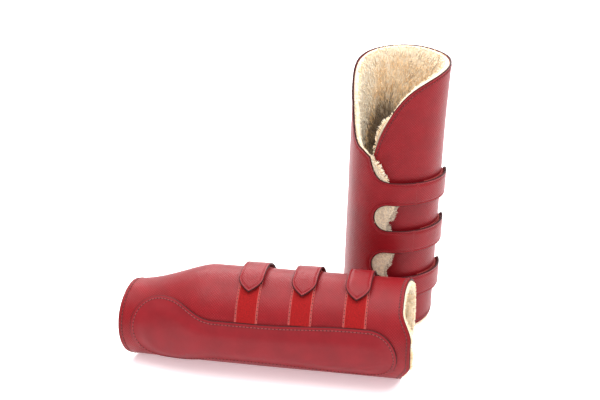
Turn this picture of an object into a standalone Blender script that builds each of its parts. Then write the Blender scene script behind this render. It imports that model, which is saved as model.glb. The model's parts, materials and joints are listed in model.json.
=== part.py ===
"""A pair of sheepskin-lined leather tendon boots for a horse's forelegs.

Each boot is one leather wrap that spirals once round the cannon bone. Its tucked edge lies under a front
flap, and three straps run from the flap round the outside of the leg and close on loop tape. The left boot
stands upright and the right boot, its mirror image, lies on its side in front of it. Metres, +Z up.

Every sheet is drawn in the flat, as angle round the boot and height above its lower edge, and is then
wrapped: 0 degrees is the front of the leg, 90 the outer side, 180 the tendon, and the wrap runs on to 360,
where the flap's front edge lies over the tucked edge.
"""

import math

import bmesh
import bpy
import numpy as np
from mathutils import Matrix, Vector

# ---- driving dimensions -------------------------------------------------------------------------
HEIGHT = 0.2965           # from the lobe under the fetlock to the rim behind the knee
MEAN_RADIUS = 0.050       # turns lengths round the boot into angles
TUCKED_RADIUS = 0.0462    # leather's outer radius at the tucked edge
ROUND_RADIUS = 0.0500     # and where the wrap is a plain cylinder
SPIRAL_RISE = 0.007       # from the tucked edge up to the flap that lies over it
LEATHER = 0.0025
LINING = 0.007
LINING_PRESSED = 0.0039   # the flap's lining where it lies on the tucked edge
GAP = 0.0003              # between neighbouring solids

TUCK_ANGLE = -40.0        # the tucked edge
ROUND_ANGLES = (70.0, 285.0)      # the wrap is round between these
HINGE_ANGLE = 300.0       # where the flap bends away from the rest of the wrap
FRONT_ANGLE = 360.0       # the flap's front edge, where the straps begin
FLEECE_ANGLE = 365.0      # the flap's lining shows past its leather
TENDON_ANGLE = 180.0

STRAP_HEIGHTS = (0.1612, 0.1080, 0.0548)
STRAP_WIDTH = 0.025
STRAP_THICKNESS = 0.0023
STRAP_LIFT = 0.0051       # strap's outer face above the leather it lies on
STRAP_EASE_ANGLE = 60.0   # the strap comes down to that lift over this angle
STRAP_BEND_ANGLE = 58.0   # where the strap's end peels from
STRAP_TIP_ANGLE = 118.0
TIP_LENGTH = 0.0165       # of the strap's pointed end
TIP_FULLNESS = 2.1        # exponent of its outline
TIP_BLUNT = 0.0012        # half width left at the very point

TAPE_THICKNESS = 0.001
TAPE_WIDTH = 0.023
LOOP_START_ANGLE = 42.0
HOOK_THICKNESS = 0.0009
HOOK_WIDTH = 0.019
HOOK_ANGLES = (63.0, 98.0)

PAD_THICKNESS = 0.002
PAD_FOAM = 0.0013
PAD_AIR = 0.0008           # between the foam and its cover, where the cover bridges the curl
PAD_LENGTH = (0.0125, 0.283)      # heights of the pad's lower and upper ends
PAD_HALF_WIDTH = 0.0288           # at the lower end
PAD_WAIST_HALF_WIDTH = 0.0248
PAD_WAIST = (0.055, 0.150)        # heights between which it narrows to its waist
PAD_BULB_HALF_WIDTH = 0.0380      # at the wider, upper end
PAD_BULB = (0.194, 0.240)         # heights between which it swells to that end
PAD_SEAM = 0.006                  # flat, sewn border round the foam

SCALLOP = 0.0094          # the lower edge rises this far between its front and rear lobes
LOBE_FLAT = 16.0          # degrees each side of a lobe's middle that stay level
LOBE_FADE = 34.0

KNEE_CURL = 0.011         # the lying boot has curled this much tighter at the knee
CURL_LENGTH = 0.090
KNEE_FLARE = 0.0015       # the standing boot opens this much wider at the knee
FLARE_HEIGHT = 0.2235
KNEE_ROWS = (0, 0.34, 0.67, 0.75, 0.81, 0.87, 0.93, 1)
REST_ANGLE = 260.0        # the line that the lying boot rests on
STANDING_LEAN = (0.0261, 0.0128)  # outwards and backwards, per metre of height
LYING_BOOT_Y = -0.1325    # the lying boot's axis from the standing boot's
LYING_BOOT_X = 0.0403     # its lower end from the standing boot's axis

LEATHER_RED = (0.335, 0.022, 0.032, 1.0)
STRAP_RED = (0.36, 0.026, 0.036, 1.0)
LOOP_RED = (0.55, 0.012, 0.012, 1.0)
HOOK_RED = (0.30, 0.010, 0.012, 1.0)
FLEECE_CREAM = (0.80, 0.66, 0.46, 1.0)
FOAM_GREY = (0.10, 0.10, 0.11, 1.0)

# ---- outlines in the flat: (angle in degrees, height in metres) -----------------------------------
SCOOP_CORNER = (-25.6, 0.199)
RIM = (SCOOP_CORNER, (-17, 0.222), (-8, 0.238), (0.6, 0.251), (10.4, 0.262), (22, 0.271), (34, 0.277),
       (57, 0.2845), (91, 0.2905), (130, 0.2940), (172, HEIGHT), (207, 0.2952), (235, 0.2912),
       (255, 0.2843), (271, 0.2710), (285, 0.250), (292, 0.236), (HINGE_ANGLE, 0.2235))
TUCKED_EDGE_TOP = ((TUCK_ANGLE, 0.120), (-38.5, 0.155), (-33.5, 0.180), SCOOP_CORNER)
FLAP_CORNER = (334.5, 0.199)
STRAP_ROOT = (FRONT_ANGLE, STRAP_HEIGHTS[0] + STRAP_WIDTH / 2)
FLAP_TOP = ((HINGE_ANGLE, 0.2235), (308, 0.213), (315, 0.208), (324, 0.2045), FLAP_CORNER,
            (339.5, 0.187), (344.5, 0.1795), (351, 0.1755), STRAP_ROOT)
FLEECE_TOP = ((HINGE_ANGLE, 0.2235), (308, 0.213), (315, 0.208), (324, 0.2045), FLAP_CORNER,
              (345, 0.1920), (353, 0.1825), (360, 0.1735), (FLEECE_ANGLE, 0.163))


def degrees_of(length):
    return math.degrees(length / MEAN_RADIUS)


def smoothstep(x):
    x = min(1.0, max(0.0, x))
    return x * x * (3 - 2 * x)


def between(height, heights):
    """0 below the first height, 1 above the second."""
    return smoothstep((height - heights[0]) / (heights[1] - heights[0]))


def smooth_line(points):
    """A function of 0 to 1 along a smooth curve through the points, spaced by length."""
    points = np.array(points, float)
    lengths = np.diff(points, axis=0) * (math.radians(MEAN_RADIUS), 1)
    knots = np.concatenate([[0], np.cumsum(np.linalg.norm(lengths, axis=1))])
    slopes = np.gradient(points, knots, axis=0)

    def at(t):
        x = t * knots[-1]
        i = min(max(int(np.searchsorted(knots, x, "right")) - 1, 0), len(knots) - 2)
        span = knots[i + 1] - knots[i]
        s = (x - knots[i]) / span
        value = ((2 * s**3 - 3 * s**2 + 1) * points[i] + (s**3 - 2 * s**2 + s) * span * slopes[i]
                 + (3 * s**2 - 2 * s**3) * points[i + 1] + (s**3 - s**2) * span * slopes[i + 1])
        return tuple(value)

    return at


def straight(start, end):
    return lambda t: (start[0] + (end[0] - start[0]) * t, start[1] + (end[1] - start[1]) * t)


def lower_edge(angle, drop=0.0):
    """Height of the wrap's lower edge: level lobes at the front and the tendon, scalloped between them."""
    lobes = 0.0
    for middle in (0.0, TENDON_ANGLE - 7, 360.0):
        lobes = max(lobes, smoothstep(1 - (abs(angle - middle) - LOBE_FLAT) / LOBE_FADE))
    return max(0.0, SCALLOP * (1 - lobes) - drop)


def patch(bottom, top, left, right):
    """A Coons patch: a function of (u, v) that fills the four side curves."""
    corners = bottom(0), bottom(1), top(0), top(1)

    def at(u, v):
        result = []
        for i in (0, 1):
            sides = (1 - v) * bottom(u)[i] + v * top(u)[i] + (1 - u) * left(v)[i] + u * right(v)[i]
            square = ((1 - v) * ((1 - u) * corners[0][i] + u * corners[1][i])
                      + v * ((1 - u) * corners[2][i] + u * corners[3][i]))
            result.append(sides - square)
        return result

    return at


def along_lower_edge(start, end, drop=0.0):
    return lambda t: (start + (end - start) * t, lower_edge(start + (end - start) * t, drop))


def then(*stretches):
    """One side made of several stretches: (share of the side, curve)."""
    def at(t):
        begin = 0.0
        for share, curve in stretches:
            if t <= begin + share + 1e-9:
                return curve(min(1.0, (t - begin) / share))
            begin += share
        return stretches[-1][1](1.0)

    return at


# ---- the two boots --------------------------------------------------------------------------------
class Boot:
    """One boot: how its wrap is curled, and where it stands."""

    def __init__(self, name, hand, curl, flare, lean, moving_panel):
        self.name = name
        self.hand = hand          # 1 for the left boot, -1 for its mirror image
        self.curl = curl
        self.flare = flare
        self.lean = lean
        self.frame = bpy.data.objects.new(name + "_boot_frame", None)
        parts.objects.link(self.frame)
        hinge = self.empty_at("flap_hinge", self.frame, self.point(HINGE_ANGLE, 0.1, 0))
        self.shell_parent = hinge if moving_panel == "shell" else self.frame
        self.flap_parent = hinge if moving_panel == "flap" else self.frame

    def curl_at(self, height):
        depth = (HEIGHT - height) / CURL_LENGTH
        return self.curl * (1 - min(1.0, max(0.0, depth)) ** 2) ** 1.7

    def point(self, angle, height, offset):
        """A point on the wrap, at this offset from the leather's outer face, in the boot's own frame."""
        curl = self.curl_at(height)
        turn = math.radians(REST_ANGLE + (angle - REST_ANGLE) * MEAN_RADIUS / (MEAN_RADIUS - curl))
        rest = math.radians(REST_ANGLE)
        flare = self.flare * between(height, (FLARE_HEIGHT, HEIGHT))
        radius = outer_radius(angle) + offset - curl + flare
        across = radius * math.sin(turn) + curl * math.sin(rest)
        forward = radius * math.cos(turn) + curl * math.cos(rest)
        across, forward = self.hand * across + self.lean[0] * height, self.lean[1] * height - forward
        return Vector((across, forward, height))

    def empty_at(self, name, parent, place):
        """An empty on a joint's axis, in the boot's frame, for the pieces that move about it."""
        empty = bpy.data.objects.new(self.name + "_" + name, None)
        parts.objects.link(empty)
        empty.parent = parent
        empty["place"] = tuple(place)
        empty.location = place - Vector(parent.get("place", (0, 0, 0)))
        return empty


def outer_radius(angle):
    """Of the leather: it grows from the tucked edge, is round, and climbs over the tucked edge again."""
    overlap = 360 + TUCK_ANGLE
    if angle >= overlap:
        return outer_radius(angle - 360) + SPIRAL_RISE
    growth = ROUND_RADIUS - TUCKED_RADIUS
    opening = ROUND_ANGLES[0] - TUCK_ANGLE
    if angle < ROUND_ANGLES[1]:
        return TUCKED_RADIUS + growth * math.sin(min(1.0, (angle - TUCK_ANGLE) / opening) * math.pi / 2)
    span = overlap - ROUND_ANGLES[1]
    s = (angle - ROUND_ANGLES[1]) / span
    climb = TUCKED_RADIUS + SPIRAL_RISE - ROUND_RADIUS
    final_slope = growth / opening * math.pi / 2 * span
    return ROUND_RADIUS + climb * (3 * s**2 - 2 * s**3) + final_slope * (s**3 - s**2)


def strap_lift(angle):
    """The strap's outer face above the leather under it: level with the flap at 0, then down onto the tape."""
    return STRAP_LIFT + (SPIRAL_RISE - STRAP_LIFT) * (1 - smoothstep(angle / STRAP_EASE_ANGLE))


def material(name, colour, roughness):
    made = bpy.data.materials.new(name)
    made.use_nodes = True
    shader = made.node_tree.nodes["Principled BSDF"]
    shader.inputs["Base Color"].default_value = colour
    shader.inputs["Roughness"].default_value = roughness
    shader.inputs["Metallic"].default_value = 0.0
    return made


def sheet(boot, name, outline, inner, outer, us, vs, finish, parent):
    """A grid thickened once and wrapped round the boot.

    outline(u, v) gives (angle, height), and inner and outer give the two faces' offsets at (u, v).
    """
    bm = bmesh.new()
    columns, rows = len(us) - 1, len(vs) - 1
    bmesh.ops.create_grid(bm, x_segments=columns, y_segments=rows, size=0.5)
    raised = bmesh.ops.extrude_face_region(bm, geom=bm.faces[:], use_keep_orig=True)
    for vert in (item for item in raised["geom"] if isinstance(item, bmesh.types.BMVert)):
        vert.co.z = 1.0
    place = Vector(parent.get("place", (0, 0, 0)))
    for vert in bm.verts:
        u = us[round((vert.co.x + 0.5) * columns)]
        v = vs[round((vert.co.y + 0.5) * rows)]
        angle, height = outline(u, v)
        offset = (outer if vert.co.z > 0.5 else inner)(u, v)
        vert.co = boot.point(angle, height, offset) - place
    bmesh.ops.recalc_face_normals(bm, faces=bm.faces[:])
    if bm.calc_volume(signed=True) < 0:
        bmesh.ops.reverse_faces(bm, faces=bm.faces[:])
    mesh = bpy.data.meshes.new(boot.name + "_" + name)
    bm.to_mesh(mesh)
    bm.free()
    mesh.shade_smooth()
    mesh.set_sharp_from_angle(angle=math.radians(35))
    mesh.materials.append(finish)
    obj = bpy.data.objects.new(boot.name + "_" + name, mesh)
    parts.objects.link(obj)
    obj.parent = parent
    return obj


def level(offset):
    return lambda u, v: offset


def steps(count):
    return [i / count for i in range(count + 1)]


def wrap_rows(boot):
    """Rows up the wrap, closer together where the knee end curls or flares."""
    return [0, 0.24, 0.48] + [0.68 + 0.32 * x for x in steps(9)] if boot.curl else KNEE_ROWS


# ---- leather, lining and pad ------------------------------------------------------------------------
def make_shell(boot):
    edge = degrees_of(GAP / 2)
    hinge = HINGE_ANGLE - edge
    tucked = then((0.55, straight((TUCK_ANGLE, lower_edge(TUCK_ANGLE)), TUCKED_EDGE_TOP[0])),
                  (0.45, smooth_line(TUCKED_EDGE_TOP)))
    rim = smooth_line(RIM[:-1] + ((hinge, RIM[-1][1]),))
    outline = patch(along_lower_edge(TUCK_ANGLE, hinge), rim, tucked,
                    straight((hinge, lower_edge(hinge)), (hinge, RIM[-1][1])))
    sheet(boot, "outer_shell", outline, level(-LEATHER), level(0), steps(46), wrap_rows(boot),
          leather, boot.shell_parent)


def make_shell_lining(boot):
    edge = degrees_of(GAP / 2)
    hinge = HINGE_ANGLE - edge
    inset = degrees_of(0.003)
    start = TUCK_ANGLE + inset
    shift = lambda points: tuple((angle + inset, height - 0.001) for angle, height in points)
    tucked = then((0.55, straight((start, lower_edge(start, 0.003)), shift(TUCKED_EDGE_TOP)[0])),
                  (0.45, smooth_line(shift(TUCKED_EDGE_TOP))))
    rim = smooth_line(shift(RIM[:4]) + tuple((a, h - 0.001) for a, h in RIM[4:-1]) + ((hinge, RIM[-1][1]),))
    outline = patch(along_lower_edge(start, hinge, 0.003), rim, tucked,
                    straight((hinge, lower_edge(hinge, 0.003)), (hinge, RIM[-1][1])))
    top = -LEATHER - GAP
    sheet(boot, "shell_lining", outline, level(top - LINING), level(top), steps(30),
          wrap_rows(boot), fleece, boot.shell_parent)


def front_edge():
    """The flap's front edge, bottom to top: a rounded corner, the straps' roots and the cut-outs between."""
    half = STRAP_WIDTH / 2
    notch = (STRAP_HEIGHTS[0] - STRAP_HEIGHTS[1]) / 2 - half
    front = FRONT_ANGLE - degrees_of(GAP / 2)
    depth = degrees_of(notch)
    points = [(front - depth - degrees_of(0.010), 0.0)]
    corner = 0.010
    points += [(front - depth - degrees_of(corner * (1 - math.sin(t))), corner * (1 - math.cos(t)))
               for t in (0.4, 0.8, 1.2, math.pi / 2)]
    low = STRAP_HEIGHTS[2] - half
    points += [(front - depth * math.cos(t), low - notch + notch * math.sin(t))
               for t in (0.0, 0.4, 0.8, 1.2, math.pi / 2)]
    for lower, upper in ((2, 1), (1, 0)):
        middle = (STRAP_HEIGHTS[lower] + STRAP_HEIGHTS[upper]) / 2
        points += [(front - depth * math.cos(t), middle + notch * math.sin(t))
                   for t in np.linspace(-math.pi / 2, math.pi / 2, 11)]
    points.append((front, STRAP_ROOT[1]))
    return points


def make_flap(boot):
    edge = degrees_of(GAP / 2)
    hinge = HINGE_ANGLE + edge
    points = front_edge()
    heights = [height for _, height in points]
    vs = [height / heights[-1] for height in heights]
    vs = [v + 1e-6 * i for i, v in enumerate(vs)]
    vs = [v / vs[-1] for v in vs]

    def right(v):
        i = min(range(len(vs)), key=lambda k: abs(vs[k] - v))
        return points[i]

    bottom_corner = points[0]
    top = smooth_line(((hinge, FLAP_TOP[0][1]),) + FLAP_TOP[1:-1] + (points[-1],))
    outline = patch(along_lower_edge(hinge, bottom_corner[0]), top,
                    straight((hinge, lower_edge(hinge)), (hinge, FLAP_TOP[0][1])), right)
    sheet(boot, "front_flap", outline, level(-LEATHER), level(0), steps(11), vs, leather, boot.flap_parent)


def make_flap_lining(boot):
    hinge = HINGE_ANGLE + degrees_of(GAP / 2)
    top = smooth_line(((hinge, FLEECE_TOP[0][1]),) + tuple((a, h - 0.001) for a, h in FLEECE_TOP[1:]))
    outline = patch(along_lower_edge(hinge, FLEECE_ANGLE, 0.003), top,
                    straight((hinge, lower_edge(hinge, 0.003)), (hinge, FLEECE_TOP[0][1])),
                    straight((FLEECE_ANGLE, 0.0), (FLEECE_ANGLE, FLEECE_TOP[-1][1] - 0.001)))
    face = -LEATHER - GAP

    def inner(u, v):
        angle = outline(u, v)[0]
        over_tuck = smoothstep((angle - (HINGE_ANGLE + 12)) / (360 + TUCK_ANGLE - 3 - HINGE_ANGLE - 12))
        return face - LINING + (LINING - LINING_PRESSED) * over_tuck

    sheet(boot, "flap_lining", outline, inner, level(face), steps(12), steps(9), fleece, boot.flap_parent)


def pad_half_width(height):
    """The tendon pad narrows to a waist and swells into a bulb below the knee."""
    waist = PAD_HALF_WIDTH + (PAD_WAIST_HALF_WIDTH - PAD_HALF_WIDTH) * between(height, PAD_WAIST)
    return waist + (PAD_BULB_HALF_WIDTH - PAD_WAIST_HALF_WIDTH) * between(height, PAD_BULB)


def pad_outline(inset):
    """(u across, v up) to (angle, height), with round ends."""
    low, high = PAD_LENGTH[0] + inset, PAD_LENGTH[1] - inset

    def at(u, v):
        height = low + (high - low) * (1 - math.cos(math.pi * v)) / 2
        lower_round = min(1.0, (height - low) / (PAD_HALF_WIDTH - inset))
        upper_round = min(1.0, (high - height) / (PAD_BULB_HALF_WIDTH - inset))
        share = math.sqrt(max(0.0, 1 - (1 - lower_round) ** 2)) * math.sqrt(max(0.0, 1 - (1 - upper_round) ** 2))
        half = max(0.004, (pad_half_width(height) - inset) * share)
        return TENDON_ANGLE + degrees_of(half * (2 * u - 1)), height

    return at


def make_pad(boot):
    us = steps(16)
    vs = steps(30)
    outline = pad_outline(0.0)
    rise = PAD_FOAM + PAD_AIR

    def swell(u, v):
        """0 on the sewn border, 1 over the foam."""
        side = smoothstep((min(u, 1 - u) - 0.02) / 0.08)
        end = smoothstep((min(v, 1 - v) - 0.03) / 0.10)
        return min(side, end)

    sheet(boot, "tendon_pad_cover", outline,
          lambda u, v: GAP + rise * swell(u, v),
          lambda u, v: GAP + PAD_THICKNESS + rise * swell(u, v), us, vs, leather, boot.shell_parent)
    sheet(boot, "tendon_pad_foam", pad_outline(PAD_SEAM + 0.006), level(GAP), level(GAP + PAD_FOAM),
          steps(9), steps(24), foam, boot.shell_parent)


# ---- straps and tapes ---------------------------------------------------------------------------------
def band(start, end, middle, half_width):
    """A strip round the boot: u along it from start to end, v across its width."""
    def at(u, v):
        return start + (end - start) * u, middle + half_width(u) * (2 * v - 1)

    return at


def make_loop_tape(boot, number, middle):
    end = TENDON_ANGLE - degrees_of(PAD_HALF_WIDTH) - degrees_of(0.002)
    sheet(boot, f"loop_tape_{number}", band(LOOP_START_ANGLE, end, middle, level_half(TAPE_WIDTH)),
          level(GAP), level(GAP + TAPE_THICKNESS), steps(14), steps(1), loop, boot.shell_parent)


def level_half(width):
    return lambda u: width / 2


def strap_faces(start, end):
    def lifted(extra):
        return lambda u, v: strap_lift(start + (end - start) * u) + extra

    return lifted(-STRAP_THICKNESS), lifted(0)


def make_strap(boot, number, middle):
    start = degrees_of(GAP / 2)
    end = STRAP_BEND_ANGLE - degrees_of(GAP / 2)
    inner, outer = strap_faces(start, end)
    sheet(boot, f"strap_{number}", band(start, end, middle, level_half(STRAP_WIDTH)), inner, outer,
          steps(9), steps(1), strap_leather, boot.flap_parent)


def make_strap_tip(boot, number, middle, bend_empty):
    start = STRAP_BEND_ANGLE + degrees_of(GAP / 2)
    inner, outer = strap_faces(start, STRAP_TIP_ANGLE)
    taper = 1 - degrees_of(TIP_LENGTH) / (STRAP_TIP_ANGLE - start)

    def half(u):
        past = max(0.0, (u - taper) / (1 - taper))
        return max(TIP_BLUNT, STRAP_WIDTH / 2 * (1 - past**TIP_FULLNESS))

    us = [taper * i / 5 for i in range(5)] + [taper + (1 - taper) * i / 7 for i in range(8)]
    sheet(boot, f"strap_tip_{number}", band(start, STRAP_TIP_ANGLE, middle, half), inner, outer,
          us, steps(2), strap_leather, bend_empty)
    under = STRAP_LIFT - STRAP_THICKNESS - GAP
    sheet(boot, f"hook_tape_{number}", band(*HOOK_ANGLES, middle, level_half(HOOK_WIDTH)),
          level(under - HOOK_THICKNESS), level(under), steps(5), steps(1), hook, bend_empty)


def make_boot(boot):
    make_shell(boot)
    make_shell_lining(boot)
    make_pad(boot)
    make_flap(boot)
    make_flap_lining(boot)
    for number, middle in enumerate(STRAP_HEIGHTS, 1):
        make_loop_tape(boot, number, middle)
        make_strap(boot, number, middle)
        bend = boot.empty_at(f"strap_{number}_bend", boot.flap_parent,
                             boot.point(STRAP_BEND_ANGLE, middle, strap_lift(STRAP_BEND_ANGLE)))
        make_strap_tip(boot, number, middle, bend)


def corners_of_pair():
    bpy.context.view_layer.update()
    corners = [obj.matrix_world @ vert.co for obj in parts.objects if obj.type == "MESH"
               for vert in obj.data.vertices]
    return [[pick(corner[i] for corner in corners) for i in range(3)] for pick in (min, max)]


def lowest(boot):
    bpy.context.view_layer.update()
    return min((obj.matrix_world @ vert.co).z for obj in parts.objects
               if obj.type == "MESH" and obj.name.startswith(boot.name) for vert in obj.data.vertices)


for old in list(bpy.data.objects):
    bpy.data.objects.remove(old)
parts = bpy.data.collections.new("tendon_boots")
bpy.context.scene.collection.children.link(parts)

leather = material("red_leather", LEATHER_RED, 0.5)
strap_leather = material("strap_leather", STRAP_RED, 0.45)
loop = material("loop_pile", LOOP_RED, 0.95)
hook = material("hook_pile", HOOK_RED, 0.7)
fleece = material("fleece", FLEECE_CREAM, 0.95)
foam = material("foam", FOAM_GREY, 0.9)

left = Boot("left", 1, 0.0, KNEE_FLARE, STANDING_LEAN, "shell")
right = Boot("right", -1, KNEE_CURL, 0.0, (0.0, 0.0), "flap")
make_boot(left)
make_boot(right)

# The lying boot: its knee end points to -X, and the line at REST_ANGLE is lowest.
roll = math.radians(REST_ANGLE - 180)
right.frame.matrix_world = Matrix((
    (0, 0, -1, LYING_BOOT_X),
    (math.cos(roll), -math.sin(roll), 0, LYING_BOOT_Y),
    (-math.sin(roll), -math.cos(roll), 0, 0),
    (0, 0, 0, 1)))
right.frame.location.z -= lowest(right)

# The origin is under the middle of the pair's box.
low, high = corners_of_pair()
for boot in (left, right):
    boot.frame.location.x -= (low[0] + high[0]) / 2
    boot.frame.location.y -= (low[1] + high[1]) / 2
bpy.context.view_layer.update()
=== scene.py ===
"""The finished look of the pair of sheepskin-lined tendon boots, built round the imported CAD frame.

Every sheet is drawn in the flat, in metres: s runs round the boot and z up it. It is then wrapped onto the
same spiral as the CAD model: 0 degrees is the front of the leg, 90 its outer side and 180 the tendon.
"""

import json
import math

import bmesh
import bpy
import numpy as np
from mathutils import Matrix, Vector
from mathutils.geometry import delaunay_2d_cdt


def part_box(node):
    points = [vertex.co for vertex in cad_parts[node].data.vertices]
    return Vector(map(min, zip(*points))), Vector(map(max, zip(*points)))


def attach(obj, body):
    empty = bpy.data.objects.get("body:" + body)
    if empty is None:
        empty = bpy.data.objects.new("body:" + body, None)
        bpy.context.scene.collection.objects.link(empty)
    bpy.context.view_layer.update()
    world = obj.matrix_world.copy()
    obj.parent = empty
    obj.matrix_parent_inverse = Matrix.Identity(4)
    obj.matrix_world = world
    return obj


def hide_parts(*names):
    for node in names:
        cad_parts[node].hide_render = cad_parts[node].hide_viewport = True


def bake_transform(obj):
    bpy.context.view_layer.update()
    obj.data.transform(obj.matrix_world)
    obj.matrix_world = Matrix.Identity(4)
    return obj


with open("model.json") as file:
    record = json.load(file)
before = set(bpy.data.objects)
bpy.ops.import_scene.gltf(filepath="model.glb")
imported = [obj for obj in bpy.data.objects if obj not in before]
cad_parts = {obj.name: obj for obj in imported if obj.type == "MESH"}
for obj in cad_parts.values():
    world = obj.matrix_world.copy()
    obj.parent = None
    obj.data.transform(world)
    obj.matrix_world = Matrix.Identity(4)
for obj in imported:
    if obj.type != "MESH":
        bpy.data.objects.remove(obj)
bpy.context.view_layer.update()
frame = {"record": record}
rng = np.random.default_rng(7)

# ---- the CAD model's wrap -------------------------------------------------------------
HEIGHT = 0.2965
MEAN_RADIUS = 0.050
TUCKED_RADIUS = 0.0462
ROUND_RADIUS = 0.0500
ROUND_ANGLES = (70.0, 285.0)
SPIRAL_RISE = 0.007
LINING = 0.007
LINING_PRESSED = 0.0039
TUCK_ANGLE = -40.0
HINGE_ANGLE = 300.0
FRONT_ANGLE = 360.0
FLEECE_ANGLE = 367.0
TENDON_ANGLE = 180.0
STRAP_WIDTH = 0.025
STRAP_THICKNESS = 0.0023
STRAP_LIFT = 0.0051
STRAP_EASE_ANGLE = 60.0
STRAP_BEND_ANGLE = 58.0
STRAP_TIP_ANGLE = 118.0
TIP_LENGTH = 0.0165
TIP_FULLNESS = 2.1
TAPE_THICKNESS = 0.001
TAPE_WIDTH = 0.023
LOOP_START_ANGLE = 42.0
HOOK_THICKNESS = 0.0009
HOOK_WIDTH = 0.019
HOOK_ANGLES = (63.0, 98.0)
PAD_THICKNESS = 0.0018
PAD_SWELL = 0.0020
PAD_SEAM = 0.0055
PAD_LENGTH = (0.0125, 0.283)
PAD_HALF_WIDTH = 0.0288
PAD_WAIST_HALF_WIDTH = 0.0248
PAD_WAIST = (0.055, 0.150)
PAD_BULB_HALF_WIDTH = 0.0380
PAD_BULB = (0.194, 0.240)
SCALLOP = 0.0094
LOBE_ANGLE = 173.0
LOBE_FLAT = 16.0
LOBE_FADE = 34.0
CURL_LENGTH = 0.090
CURL_EASE = 1.7
FLARE_HEIGHT = 0.2235
REST_ANGLE = 260.0
SCOOP_CORNER = (-25.6, 0.199)
RIM = (SCOOP_CORNER, (-17, 0.222), (-8, 0.238), (0.6, 0.251), (10.4, 0.262), (22, 0.271), (34, 0.277),
       (57, 0.2845), (91, 0.2905), (130, 0.2940), (172, HEIGHT), (207, 0.2952), (235, 0.2912),
       (255, 0.2843), (271, 0.2710), (285, 0.250), (292, 0.236), (HINGE_ANGLE, 0.2235))
TUCKED_EDGE_TOP = ((TUCK_ANGLE, 0.0), (TUCK_ANGLE, 0.120), (-38.5, 0.155), (-33.5, 0.180), SCOOP_CORNER)
FLAP_CORNER = (334.5, 0.199)
FLAP_TOP = ((308, 0.213), (315, 0.208), (324, 0.2045), FLAP_CORNER)
FLAP_FRONT_TOP = (FLAP_CORNER, (339.5, 0.187), (344.5, 0.1795), (351, 0.1755))
STRAP_HEIGHTS = tuple(sum(corner[2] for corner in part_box(f"left_strap_{n}")) / 2 for n in (1, 2, 3))

# ---- what scene.py adds ---------------------------------------------------------------
HIDE = 0.0019             # thickness of the leather's finished look
SEAM_ANGLE = 286.0        # one piece of wrap rides on the shell up to here, and the other is the flap's
STRAP_SEAM_ANGLE = 30.0   # the flap's piece ends here on each strap
BEND_HALF_ANGLE = 11.0    # the angle on each side of the flap's hinge at which bend finds its points
BEND_HEIGHT = 0.1         # where along the hinge that bend is measured
STRAP_BEND_HALF = 6.0
STEP = 0.0018             # along an outline
FILL = 0.0032             # between the points that fill it
STRAP_FILL = 0.0026
ROW_SHARE = 0.87          # between those points' rows, as a share of their spacing
BATCH = 2000              # points measured at a time
EDGE_ROUND = 0.0007
EDGE_RINGS = 6
SEAM_STRIP = 0.0004       # a narrow row of faces along a cut, so that the two pieces shade alike there
FRONT_LOBE = 0.6          # the leather's lower edge comes down less far at the front than behind
FRONT_LOBE_FLAT = 30.0
FRONT_LOBE_FADE = 75.0
CREASE = 0.0025           # the creased line, in from the edge
CREASE_DEPTH = 0.00042
CREASE_HALF = 0.0006
STITCH = 0.0026
STITCH_PITCH = 0.0036
THREAD = 0.00036
HOLE = 0.00088
STITCH_INSET = 0.0040
STITCH_RISE = 0.35        # a stitch's middle is this share of its radius above the leather, and the middle of a dark bead painted for a hole's shade below it
PAD_STITCH_INSET = 0.0033
SELVAGE_STITCH_INSET = 0.0009
BEAD_SIDES = 6
BEAD_PROFILE = ((-1.0, 0.35), (-0.6, 1.0), (0.6, 1.0), (1.0, 0.35))   # along a grain, and its radius there
BEAD_FLATNESS = 0.8
PAD_SHOULDER = 0.013      # the pad swells up over this distance from its seam
FLAP_CORNER_RADIUS = 0.010
SELVAGE = 0.0017          # the width of a tape's woven edge
PILE_RISE = 0.0002        # the loop pile above the CAD model's tape, and how rough it is
PILE_ROUGH = 0.00016
RIPPLE = 0.00022          # the leather's slow waves
FOOT_HEIGHT = 0.03        # edges below this belong to the lower edge

# the leather's colours
RED = (0.200, 0.0035, 0.0070, 1.0)
PAD_RED = (0.192, 0.0060, 0.0105, 1.0)
RIDGE_HIGHLIGHT_TINT = (2.1, 6.5, 5.0)   # the painted highlight on the grain's ridges, as factors of the leather's colour
HATCH_PITCH = 2.3         # radians of diagonal grain in a millimetre along it

# the fleece
FLEECE = LINING - 0.001   # its depth without the loose locks, and where it is pressed
FLEECE_PRESSED = LINING_PRESSED - 0.0004
FLEECE_BACK = -HIDE - 0.0001
FLEECE_RINGS = ((0.0034, 1.0), (0.0016, 0.93), (0.0004, 0.72), (0.0, 0.45), (0.0006, 0.16), (0.0016, 0.0))
LUMPS = {"shell": 1.0, "flap": 0.4}   # how lumpy its face is
WOOL_DROP = {1: 0.0078, -1: 0.0010}   # it shows below the standing boot's scallops more than the lying boot's
LINING_PROUD = -0.0004
CORNER_ANGLES = (-2.0, -16.0)         # between them it grows out past the scoop's edge
CORNER_REACH = (-0.0030, 0.0020)
TUCK_INSET = 3            # degrees from the leather's tucked edge to the lining's
FLEECE_FOOT_ANGLE = FLEECE_ANGLE - 9
FLEECE_SLOPE = ((342.0, 0.1912), (349.5, 0.1823), (357, 0.1735))
FLEECE_FRONT = ((FLEECE_ANGLE, 0.158), (367.5, 0.150), (366, 0.141), (361.5, 0.133), (359, 0.125),
                (360.5, 0.117), (366, 0.107), (367.5, 0.097), (366, 0.088), (361.5, 0.080), (359.5, 0.072),
                (361, 0.064), (365, 0.053), (365, 0.040), (361, 0.020))
LOCK_RINGS = ((0.0, 1.0), (0.45, 0.95), (0.8, 0.55))   # along a lock, and its share of the radius
LOCK_SWAY = 0.28
ROOT_DEPTH = 0.0006
RIM_LIGHT = 0.42          # painted light: how much whiter it is at an edge, fading over this depth
RIM_LIGHT_DEPTH = 0.011
OPEN_SIDE_LIGHT = 0.48    # and the painted light on the open side of the boot, from the first angle to the second
OPEN_SIDE_ANGLES = (216, 242)
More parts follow.
